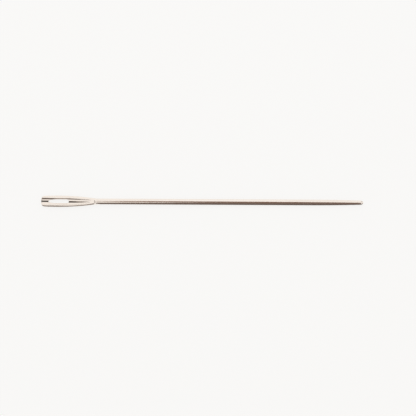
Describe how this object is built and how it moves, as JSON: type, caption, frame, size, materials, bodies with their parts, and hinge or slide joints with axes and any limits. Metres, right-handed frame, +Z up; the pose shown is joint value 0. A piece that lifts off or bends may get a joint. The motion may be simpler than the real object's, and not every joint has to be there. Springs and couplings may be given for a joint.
{
  "type": "yarn needle",
  "caption": "Straight blunt steel needle with a flattened head, a long eye and a thread gutter on each face, for sewing up knitting with yarn.",
  "frame": {"origin": "bottom centre of the whole needle: under the middle of its length, on the plane that it lies on", "axes": "+X along the needle from the head to the point, +Y to the left across the head's width, +Z up through the eye"},
  "size_m": [0.127, 0.0044, 0.0023],
  "materials": {
    "nickel_plated_steel": "polished nickel plate over steel wire"
  },
  "bodies": {
    "root": {"head": "nickel_plated_steel", "shaft": "nickel_plated_steel"}
  },
  "joints": []
}
